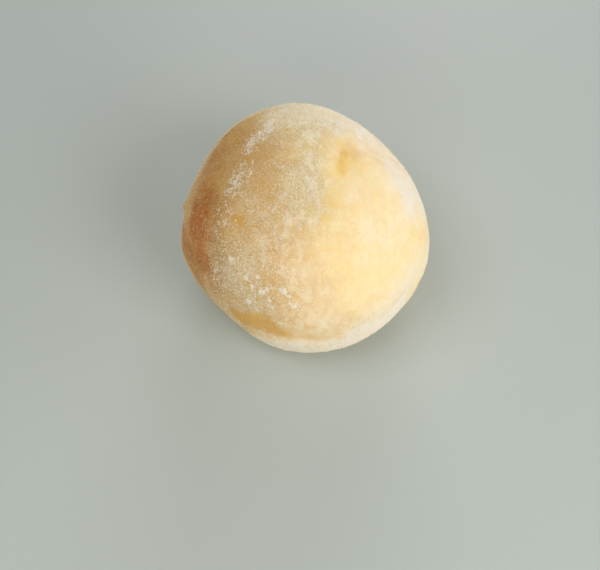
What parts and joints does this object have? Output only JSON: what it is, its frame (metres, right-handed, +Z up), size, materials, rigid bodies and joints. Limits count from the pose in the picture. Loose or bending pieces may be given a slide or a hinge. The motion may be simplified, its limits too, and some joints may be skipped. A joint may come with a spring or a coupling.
{
  "type": "mochi rice cake",
  "caption": "Soft, round rice cake with a domed, starch-dusted top, a shallow fold down one side and a flat foot to rest on.",
  "frame": {"origin": "middle of the cake's outline, on the flat foot", "axes": "+Z up through the crown, +X to the right and -Y to the front"},
  "size_m": [0.0578, 0.057, 0.0453],
  "materials": {
    "dough": "soft, slightly see-through yellow rice dough under a fine coat of white starch"
  },
  "bodies": {
    "root": {"rice_cake": "dough"}
  },
  "joints": []
}
